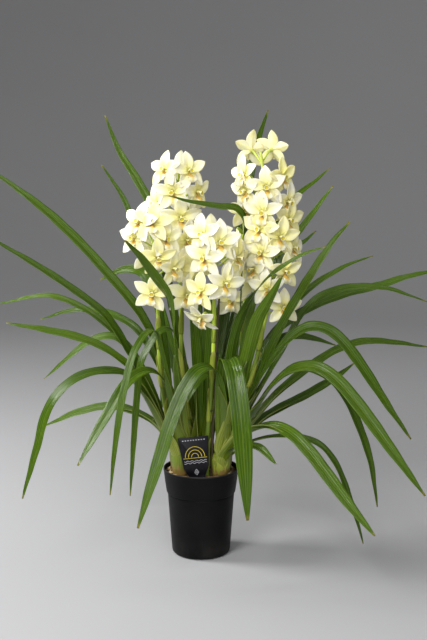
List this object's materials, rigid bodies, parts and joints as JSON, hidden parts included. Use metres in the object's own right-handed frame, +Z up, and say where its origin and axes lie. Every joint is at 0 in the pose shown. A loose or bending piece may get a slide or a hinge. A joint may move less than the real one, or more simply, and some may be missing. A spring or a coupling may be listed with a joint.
{
  "type": "potted orchid",
  "caption": "Potted orchid with long arching strap leaves and upright stems of cream blooms in a round black nursery pot that stands on its flat base.",
  "frame": {"origin": "centre of the pot's flat underside", "axes": "+Z up along the pot's axis, -Y towards the side the label faces, +X to the right seen from there"},
  "size_m": [0.9213, 0.6482, 0.884],
  "materials": {
    "pot": "matte black moulded plastic",
    "growing_medium": "rough damp bark chips",
    "label": "smooth black plastic tag with a plain printed pattern",
    "leaf": "smooth living leaf, satin",
    "flower_stem": "smooth living stem, satin",
    "bloom": "soft translucent petal, matte",
    "stake": "dark slim cane",
    "tie": "soft dark plant tie"
  },
  "bodies": {
    "root": {"pot": "pot", "growing_medium": "growing_medium", "label": "label", "shoot_front_left": "leaf", "shoot_front_right": "leaf", "shoot_left": "leaf", "shoot_right": "leaf", "shoot_back": "leaf", "shoot_centre": "leaf", "spike_1_stem": "flower_stem", "spike_1_blooms_01": "bloom", "spike_1_bloom_03": "bloom", "spike_1_blooms_07": "bloom", "spike_1_bloom_09": "bloom", "spike_1_bloom_10": "bloom", "spike_1_bloom_11": "bloom", "spike_2_stem": "flower_stem", "spike_2_blooms_01": "bloom", "spike_2_blooms_03": "bloom", "spike_2_bloom_09": "bloom", "spike_3_stem": "flower_stem", "spike_3_blooms_01": "bloom", "spike_3_bloom_03": "bloom", "spike_3_bloom_09": "bloom", "spike_3_bloom_10": "bloom", "spike_4_stem": "flower_stem", "spike_4_blooms_01": "bloom", "spike_4_blooms_03": "bloom", "spike_4_bloom_17": "bloom", "spike_5_stem": "flower_stem", "spike_5_bloom_01": "bloom", "spike_5_blooms_02": "bloom", "spike_5_bloom_04": "bloom", "spike_5_bloom_05": "bloom", "stake_1": "stake", "tie_1_1": "tie", "stake_2": "stake", "tie_2_1": "tie", "tie_2_2": "tie"}
  },
  "joints": []
}
